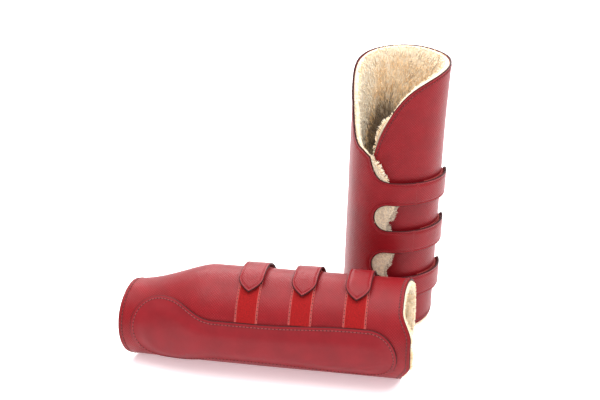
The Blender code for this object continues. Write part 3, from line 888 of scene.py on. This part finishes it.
def make_wrap(boot):
    for name, node, body, outline in (("wrap", "outer_shell", "shell", shell_outline()),
                                      ("flap_panel", "front_flap", "flap", flap_outline())):
        piece = sheet(f"{boot.name}_{name}", boot, *outline, leather_face, HIDE, LEATHER_SET)
        declare(piece, boot, "leather", node, body=body)
    for number, height in enumerate(STRAP_HEIGHTS, 1):
        strap = sheet(f"{boot.name}_strap_{number}_end", boot, *strap_outline(height), strap_face, HIDE,
                      LEATHER_SET, spacing=STRAP_FILL, map_shift=FRONT_S)
        declare(strap, boot, "leather", f"strap_{number}", f"strap_tip_{number}", body=None)
        bend(strap, boot, STRAP_BEND_ANGLE, STRAP_BEND_HALF, height,
             STRAP_LIFT)
    make_wrap_stitches(boot)


def make_wrap_stitches(boot):
    """Rows round the rim and the lower edge, which hold the lining."""
    shell, cuts = shell_outline()
    s, z = shell.T
    path = inset(shell, STITCH_INSET)
    tucked_side = (s < metres(TUCK_ANGLE) + 0.001) & (z < TUCKED_EDGE_TOP[1][1])
    keep = ~cuts & (s < SEAM_S - 0.001) & ~tucked_side
    for label, part in (("rim", z > TUCKED_EDGE_TOP[1][1]), ("foot", z < FOOT_HEIGHT)):
        stitch_line(f"{boot.name}_{label}", boot, path[keep & part], leather_face, "leather",
                    thread="dark_thread")


# ---- the tendon pad -------------------------------------------------------------------
def between(height, heights):
    return smoothstep((height - heights[0]) / (heights[1] - heights[0]))


def pad_half_width(height):
    waist = PAD_HALF_WIDTH + (PAD_WAIST_HALF_WIDTH - PAD_HALF_WIDTH) * between(height, PAD_WAIST)
    return waist + (PAD_BULB_HALF_WIDTH - PAD_WAIST_HALF_WIDTH) * between(height, PAD_BULB)


def round_end(distance, radius):
    """The share of its full width that the pad has at this distance from its round end."""
    return np.sqrt(1 - (1 - np.clip(distance / radius, 0, 1)) ** 2)


def pad_outline():
    low, high = PAD_LENGTH
    height = low + (high - low) * (1 - np.cos(np.pi * np.linspace(0, 1, 600))) / 2
    share = round_end(height - low, PAD_HALF_WIDTH) * round_end(high - height, PAD_BULB_HALF_WIDTH)
    half = pad_half_width(height) * share
    middle = float(metres(TENDON_ANGLE))
    going_up = np.stack([middle + half, height], axis=1)
    going_down = np.stack([middle - half, height], axis=1)[::-1]
    closed = np.vstack([going_up, going_down[1:-1], going_up[:1]])
    lengths = path_lengths(closed)
    at = np.linspace(0, lengths[-1], int(lengths[-1] / STEP) + 1)[:-1]
    return path_points(closed, lengths, at), np.zeros(len(at), bool)


def make_pad(boot):
    outline, cuts = pad_outline()

    def outer(s, z):
        inside = depth_inside(np.stack([s, z], axis=1), outline)
        swell = smoothstep((inside - PAD_SEAM) / PAD_SHOULDER)
        return PAD_THICKNESS + 0.0001 + PAD_SWELL * swell + 0.00025 * broad(np.asarray(s) + 0.1, z) * swell

    pad = sheet(boot.name + "_tendon_pad", boot, outline, cuts, outer, PAD_THICKNESS, PAD_SET, creased=False)
    declare(pad, boot, "pad_leather", "tendon_pad_cover", "tendon_pad_foam")
    stitch_line(boot.name + "_pad", boot, inset(outline, PAD_STITCH_INSET), outer, "pad_leather", closed=True)


# ---- the tapes ------------------------------------------------------------------------
def loop_mesh(name, boot, start, end, height):
    """A loop tape round the boot: woven edges with a raised, rough pile between them."""
    half, thickness = TAPE_WIDTH / 2, TAPE_THICKNESS + PILE_RISE
    pile_edge = half - SELVAGE - 0.0004
    inner = np.linspace(-half + SELVAGE + 0.0004, pile_edge, 12)
    across = np.concatenate([[-half, -half, -half + SELVAGE], inner, [half - SELVAGE, half, half]])
    level = np.full(len(across), thickness)
    for edge, share in enumerate((0.0, 0.5, 0.55)):
        level[[edge, -1 - edge]] = thickness * share
    rough = np.zeros(len(across))
    rough[3:-3] = 1.0
    along = np.linspace(metres(start), metres(end), max(8, int((metres(end) - metres(start)) / 0.0015)))
    s, u = np.meshgrid(along, across, indexing="ij")
    z = height + u
    offsets = 0.0001 + level[None] + rough[None] * PILE_ROUGH * locks(s * 2.2, z * 2.2)
    rows, columns = s.shape
    faces, kinds = [], []
    for a in range(0, (rows - 1) * columns, columns):
        faces += [(a + j, a + j + columns, a + j + columns + 1, a + j + 1) for j in range(columns - 1)]
        kinds += [0 if 3 <= j < columns - 4 else 1 for j in range(columns - 1)]
        faces.append((a + columns - 1, a + 2 * columns - 1, a + columns, a))
        kinds.append(1)
    faces.append(tuple(range(columns)))
    faces.append(tuple((rows - 1) * columns + j for j in reversed(range(columns))))
    kinds += [1, 1]
    flat = np.stack([s.ravel(), z.ravel()], axis=1)
    skins = [materials["loop"], materials["selvage"]]
    return add_mesh(name, boot, flat, offsets.ravel(), faces, skins, kinds, 60)


def selvage_face(s, z):
    return np.full(len(s), TAPE_THICKNESS * 0.62)


def hook_face(s, z):
    return np.full(len(s), STRAP_LIFT - STRAP_THICKNESS - 0.0002)


def hook_outline(height):
    (start, end), half = metres(HOOK_ANGLES), HOOK_WIDTH / 2
    corners = [(start, height - half), (end, height - half), (end, height + half), (start, height + half)]
    return join(*((line(a, b), False) for a, b in zip(corners, corners[1:] + corners[:1])))


def make_tapes(boot):
    """The loop tapes on the shell, and the hook tapes under the strap ends, whose pile faces the boot."""
    for number, height in enumerate(STRAP_HEIGHTS, 1):
        name = f"{boot.name}_loop_{number}"
        end = TENDON_ANGLE - float(degrees(pad_half_width(height))) - 0.4
        loop = loop_mesh(name, boot, LOOP_START_ANGLE, end, height)
        declare(loop, boot, "loop_tape", f"loop_tape_{number}")
        for label, side in (("low", -1), ("high", 1)):
            edge = height + side * (TAPE_WIDTH / 2 - SELVAGE_STITCH_INSET)
            path = line((metres(LOOP_START_ANGLE) + 0.002, edge), (metres(end) - 0.001, edge))
            stitch_line(f"{name}_{label}", boot, path, selvage_face, "loop_tape")
        hook = sheet(f"{boot.name}_hook_{number}", boot, *hook_outline(height), hook_face, HOOK_THICKNESS,
                     [materials["hook"]] * 3, creased=False, spacing=0.004)
        declare(hook, boot, "hook_tape", f"hook_tape_{number}", body=f"strap_end_{number}")


# ---- the lining -----------------------------------------------------------------------
def corner_share(s):
    return smoothstep((CORNER_ANGLES[0] - degrees(s)) / (CORNER_ANGLES[0] - CORNER_ANGLES[1]))


def lining_outline(drop):
    """The shell's part of the lining, which ends just inside the rim."""
    rim = SHELL_TOP + np.array([0.0, LINING_PROUD])
    rim = rim + corner_share(rim[:, 0])[:, None] * np.array(CORNER_REACH)
    rim[:, 0] = np.maximum(rim[:, 0], metres(SCOOP_CORNER[0]))
    bottom = lower_line(TUCK_ANGLE + TUCK_INSET, SEAM_ANGLE, drop)
    tucked = smooth(TUCKED_EDGE_TOP[1:]) + np.array([0.0, LINING_PROUD])
    top = corner_share(tucked[:, 0]) * smoothstep((tucked[:, 1] - 0.180) / 0.019)
    tucked[:, 0] += float(metres(TUCK_INSET)) * (1 - top) + (CORNER_REACH[0] - 0.001) * top
    rim = rim[rim[:, 0] > tucked[-1, 0] + 0.002]
    return join((bottom, False), (line(bottom[-1], rim[-1]), True), (rim[::-1], False), (tucked[::-1], False),
                (line(tucked[0], bottom[0]), False))


def flap_lining_outline(drop):
    """The flap's part, whose front edge is ragged and shows between the straps."""
    top = FLAP_TOP_PATH + np.array([0.0, LINING_PROUD])
    edge = smooth(((FLAP_CORNER[0] - 0.5, FLAP_CORNER[1] + LINING_PROUD),) + FLEECE_SLOPE + FLEECE_FRONT[:1])
    top = top[top[:, 0] < edge[0, 0] - 0.0015]
    bottom = lower_line(SEAM_ANGLE, FLEECE_FOOT_ANGLE, drop)
    front = smooth(FLEECE_FRONT + ((FLEECE_FOOT_ANGLE, bottom[-1, 1]),))
    return join((bottom, False), (front[::-1], False), (edge[::-1], False), (top[::-1], False),
                (line(top[0], bottom[0]), True))


def lining_thickness(part, s):
    """How thick the lining is. The flap's is pressed thin where it lies against the shell."""
    if part == "shell":
        return np.full(len(s), FLEECE)
    pressed = smoothstep((degrees(s) - (HINGE_ANGLE + 12)) / 8)
    return FLEECE * (1 - pressed) + FLEECE_PRESSED * pressed


def make_fleece(boot, part, outline, cuts, skin):
    """A closed, lumpy layer from the leather's back inwards, with rounded edges."""
    free = np.where(cuts, 0.0, 1.0)

    def offset(points, share, _):
        depth = share * lining_thickness(part, points[:, 0])
        if share == 1.0:
            depth = depth + (0.0007 * clumps(*points.T) + 0.0004 * locks(*points.T)) * LUMPS[part]
        return FLEECE_BACK - depth

    flat, offsets, face, sides, back = closed_layer(outline, free, FLEECE_RINGS[0][0] * free, FLEECE_RINGS,
                                                    offset, 0.0025, 0.006)
    inwards = [face[:1] + face[:0:-1] for face in face + sides + back]
    obj = add_mesh(f"{boot.name}_{part}_fleece", boot, flat, offsets, inwards, [materials[skin]])
    merge_doubles(obj)
    declare(obj, boot, "fleece", part + "_lining", body=part)


def make_wool(boot, part, label, roots, directions, lengths, radii, tones, material="wool"):
    """Locks of wool: three-sided, curved and tapering. roots and directions are (s, z, offset)."""
    count = len(roots)
    unit = directions / np.linalg.norm(directions, axis=1)[:, None]
    helper = np.where(np.abs(unit[:, :1]) < 0.8, [[1.0, 0, 0]], [[0, 1.0, 0]])
    side = np.cross(unit, helper)
    side /= np.linalg.norm(side, axis=1)[:, None]
    other = np.cross(unit, side)
    sway = rng.normal(0, LOCK_SWAY, (count, 2))
    turn = rng.uniform(0, 2 * math.pi, count)
    rings = []
    for t, size in LOCK_RINGS:
        bow = (lengths * math.sin(math.pi * t) * 0.6)[:, None]
        middle = roots + unit * (lengths * t)[:, None] + (side * sway[:, :1] + other * sway[:, 1:]) * bow
        for k in range(3):
            a = (turn + k * 2 * math.pi / 3)[:, None]
            rings.append(middle + (side * np.cos(a) + other * np.sin(a)) * (radii * size)[:, None])
    tip = roots + unit * lengths[:, None]
    tip += (side * sway[:, 1:] - other * sway[:, :1]) * (lengths * 0.2)[:, None]
    flat = np.stack(rings + [tip], axis=1).reshape(-1, 3)
    pattern = [(0, 2, 1)] + tube(3, 2) + [(6 + i, 6 + (i + 1) % 3, 9) for i in range(3)]
    along = np.tile(np.repeat([t for t, _ in LOCK_RINGS] + [1.0], [3, 3, 3, 1]), count)
    tone = np.repeat(np.clip(tones + rng.normal(0, 0.12, count), 0, 1), 10)
    obj = add_mesh(f"{boot.name}_{part}_{label}", boot, flat[:, :2], flat[:, 2], repeated(pattern, count, 10),
                   [materials[material]], uv=np.stack([tone, along], axis=1), lowest=0.0003)
    declare(obj, boot, "fleece", body=part)


def scatter(outline, spacing, margin):
    """Random points inside an outline, about one to each square of this spacing."""
    low, high = outline.min(axis=0), outline.max(axis=0)
    count = int((high[0] - low[0]) * (high[1] - low[1]) / spacing ** 2)
    points = rng.uniform(low, high, (count, 2))
    return points[depth_inside(points, outline) > margin]


def along_outline(outline, cuts, spacing):
    """Random points on an outline's free edges, with the direction out of it."""
    chosen = np.flatnonzero(~cuts & ~np.roll(cuts, -1))
    after = np.roll(outline, -1, axis=0)
    lengths = np.linalg.norm(after - outline, axis=1)[chosen]
    count = int(lengths.sum() / spacing)
    pick = rng.choice(chosen, count, p=lengths / lengths.sum())
    t = rng.uniform(0, 1, (count, 1))
    points = outline[pick] * (1 - t) + after[pick] * t
    edge = after[pick] - outline[pick]
    edge /= np.linalg.norm(edge, axis=1)[:, None]
    return points, np.stack([edge[:, 1], -edge[:, 0]], axis=1)


def pile(points):
    """Directions of the pile over the lining's inner face: inwards, and down the leg in combed locks."""
    count = len(points)
    s, z = points.T
    swirl = 0.50 * clumps(s, z * 0.35)
    return np.stack([swirl + rng.normal(0, 0.12, count), -1.0 + rng.normal(0, 0.15, count),
                     -0.42 - 0.25 * locks(s, z * 0.4) + rng.normal(0, 0.08, count)], axis=1)


def short_at_foot(points, depth):
    """Factors for the pile's lengths: it is clipped short next to the lining's lower edge."""
    return np.where(points[:, 1] < 0.05, 0.35 + 0.65 * smoothstep(depth / 0.010), 1.0)


def wool_tone(points, depth):
    """Tones for the locks: whiter with painted light just inside an edge and on the open side of the boot,
    warm below it, and darkened to brown with painted shade deep down, in streaks that run up the leg.
    """
    s, z = points.T
    angle = degrees(s)
    streak = 0.5 * clumps(s * 1.6, z * 0.20) + 0.5 * locks(s, z * 0.25)
    # painted light just inside the edges and on the open side, and painted brown shade deep down
    rim = RIM_LIGHT * np.exp(-depth / RIM_LIGHT_DEPTH)
    open_side_light = OPEN_SIDE_LIGHT * between(angle, OPEN_SIDE_ANGLES)
    shade_top = SHADE_TOP - 0.020 * ((angle - SHADE_ANGLE) / 22) ** 2 + 0.018 * streak
    painted_shade = smoothstep((np.maximum(shade_top, SHADE_TOP_LEAST) - z) / 0.034) * smoothstep((z - 0.045) / 0.060)
    return 0.60 + 0.13 * streak + rim + open_side_light - 0.78 * painted_shade


def make_shell_lining(boot):
    outline, cuts = lining_outline(WOOL_DROP[boot.hand])
    make_fleece(boot, "shell", outline, cuts, "shaded_skin")
    points = scatter(outline, 0.0017, 0.001)
    seen = (points[:, 1] > 0.13) | (points[:, 1] < 0.05)
    points = points[seen | (rng.uniform(0, 1, len(points)) < 0.22)]
    roots = np.column_stack([points, np.full(len(points), -HIDE - FLEECE + ROOT_DEPTH)])
    depth = depth_inside(points, outline)
    lengths = rng.uniform(0.0045, 0.0080, len(points)) * short_at_foot(points, depth)
    radii = rng.uniform(0.00030, 0.00052, len(points))
    make_wool(boot, "shell", "wool", roots, pile(points), lengths, radii, wool_tone(points, depth))
    make_shell_fringe(boot, outline, cuts)


def make_shell_fringe(boot, outline, cuts):
    """The wool along the shell lining's edges. It hangs out at the foot and grows inwards at the rim."""
    edge, out = along_outline(outline, cuts, 0.00032)
    count = len(edge)
    low = edge[:, 1] < FOOT_HEIGHT
    across = rng.uniform(0.1, 0.95, count)
    roots = np.column_stack([edge - out * 0.001, -HIDE - 0.0004 - across * (LINING - 0.0015)])
    corner = np.where(edge[:, 1] > 0.17, corner_share(edge[:, 0]), 0.0)
    out_share = np.where(low, 1.0, 0.15 + 0.85 * corner)
    inwards = np.where(low, -0.65 * across, -(0.35 + 0.55 * across) * (1 - 0.8 * corner))
    direction = np.column_stack([out * out_share[:, None] + rng.normal(0, 0.25, (count, 2)), inwards])
    tuft = 0.5 + 0.5 * locks(edge[:, 0] * 0.7, edge[:, 1] * 0.7)
    hanging = smoothstep((degrees(edge[:, 0]) - 120) / 40) if boot.curl else 0.0
    standing = 0.002 * tuft if boot.hand > 0 else 0.0
    foot = rng.uniform(0.0010, 0.0024, count) + 0.0040 * tuft * hanging + standing
    rim_length = rng.uniform(0.0018, 0.0030, count) + 0.0012 * tuft + 0.0035 * corner * tuft
    make_wool(boot, "shell", "edge_wool", roots, direction, np.where(low, foot, rim_length),
              rng.uniform(0.0003, 0.0005, count), np.where(low, 0.70, 0.74))


def make_flap_lining(boot):
    outline, cuts = flap_lining_outline(WOOL_DROP[boot.hand])
    make_fleece(boot, "flap", outline, cuts, "skin")
    points = scatter(outline, 0.0024, 0.001)
    count = len(points)
    roots = np.column_stack([points, -HIDE - lining_thickness("flap", points[:, 0]) + ROOT_DEPTH])
    clear = degrees(points[:, 0]) < HINGE_ANGLE + 14
    depth = depth_inside(points, outline)
    lengths = np.where(clear, rng.uniform(0.0035, 0.0060, count), rng.uniform(0.001, 0.0018, count))
    make_wool(boot, "flap", "wool", roots, pile(points), lengths * short_at_foot(points, depth),
              rng.uniform(0.00030, 0.00052, count), wool_tone(points, depth))
    make_flap_outer_wool(boot, outline)
    make_flap_fringe(boot, outline, cuts)


def make_flap_outer_wool(boot, outline):
    """The wool on the lining's outer face, where it shows past the leather's front edge."""
    show = scatter(outline, 0.0010, 0.0004)
    show = show[depth_inside(show, flap_outline()[0]) < 0.0006]
    count = len(show)
    roots = np.column_stack([show, np.full(count, -HIDE - 0.0006)])
    direction = np.column_stack([0.55 + rng.normal(0, 0.35, count), rng.normal(-0.15, 0.4, count),
                                 rng.uniform(0.25, 0.9, count)])
    # painted shade: darker below about 165 to 185 mm, in the cut-outs between the straps
    make_wool(boot, "flap", "outer_wool", roots, direction, rng.uniform(0.0016, 0.0036, count),
              rng.uniform(0.00028, 0.00045, count),
              0.66 + 0.20 * smoothstep((show[:, 1] - 0.165) / 0.02) + 0.10 * locks(*show.T), "shaded_wool")


def make_flap_fringe(boot, outline, cuts):
    """The wool along the flap lining's edges: pressed at the front, and greyer there below the upper strap
    with painted shade.
    """
    edge, out = along_outline(outline, cuts, 0.00028)
    count = len(edge)
    across = rng.uniform(0.05, 0.9, count)
    ragged = 0.5 + 0.5 * clumps(edge[:, 0], edge[:, 1] * 1.3) + 0.3 * locks(edge[:, 0], edge[:, 1])
    front = (degrees(edge[:, 0]) > FLAP_CORNER[0]) & (edge[:, 1] > FOOT_HEIGHT)
    roots = np.column_stack([edge - out * 0.001, -HIDE - 0.0002 - across * 0.003])
    reach = np.where(front, 0.0016 + 0.0050 * np.clip(ragged, 0, 1), rng.uniform(0.0012, 0.0024, count))
    rise = rng.uniform(-0.15, 0.35, count)
    under_strap = np.abs(edge[:, 1:] - np.array(STRAP_HEIGHTS)).min(axis=1) < STRAP_WIDTH / 2 + 0.002
    spread = rng.normal(0, 0.3, (count, 2))
    direction = np.column_stack([out + spread, np.where(under_strap, -0.2 - rise, rise)])
    radii = rng.uniform(0.0003, 0.0005, count)
    below = front & (edge[:, 1] < 0.160)
    # the front's wool below the upper strap is coloured with painted shade
    for label, part, tone, material in (("edge", ~below, 0.85, "wool"),
                                        ("front", below, 0.45, "shaded_wool")):
        make_wool(boot, "flap", label + "_wool", roots[part], direction[part], reach[part], radii[part],
                  np.full(part.sum(), tone), material)


for boot in (left, right):
    make_wrap(boot)
    make_pad(boot)
    make_tapes(boot)
    make_shell_lining(boot)
    make_flap_lining(boot)


# ---- stage, light and camera ----------------------------------------------------------
def make_stage():
    bpy.ops.mesh.primitive_plane_add(size=FLOOR_SIZE, location=(0, 0, 0))
    floor = bpy.context.object
    floor.name = "floor"
    material = bpy.data.materials.new("floor_white_glow")
    material.use_nodes = True
    shader = material.node_tree.nodes["Principled BSDF"]
    for key, value in FLOOR_LOOK.items():
        shader.inputs[key].default_value = value
    floor.data.materials.append(material)


def area_light(name, place, target, size, power):
    light = bpy.data.lights.new(name, "AREA")
    light.shape = "RECTANGLE"
    light.size, light.size_y = size
    light.energy = power
    obj = bpy.data.objects.new(name, light)
    obj.location = place
    obj.rotation_euler = (Vector(target) - Vector(place)).to_track_quat("-Z", "Y").to_euler()
    bpy.context.scene.collection.objects.link(obj)


def make_lights():
    world = bpy.data.worlds.new("studio")
    world.use_nodes = True
    background = world.node_tree.nodes["Background"]
    background.inputs["Color"].default_value = (1, 1, 1, 1)
    background.inputs["Strength"].default_value = WORLD_STRENGTH
    bpy.context.scene.world = world
    for light in LIGHTS:
        area_light(*light)


def make_camera():
    """Looks 21 degrees down from 10 degrees round to the right of the standing boot's front."""
    data = bpy.data.cameras.new("camera")
    data.lens, data.sensor_width = CAMERA_LENS
    camera = bpy.data.objects.new("camera", data)
    camera.location = Vector(left.origin) + Vector(CAMERA_PLACE)
    camera.rotation_euler = tuple(math.radians(angle) for angle in CAMERA_TURN)
    bpy.context.scene.collection.objects.link(camera)
    bpy.context.scene.camera = camera


make_stage()
make_lights()
make_camera()
bpy.context.scene.view_settings.view_transform = "Standard"
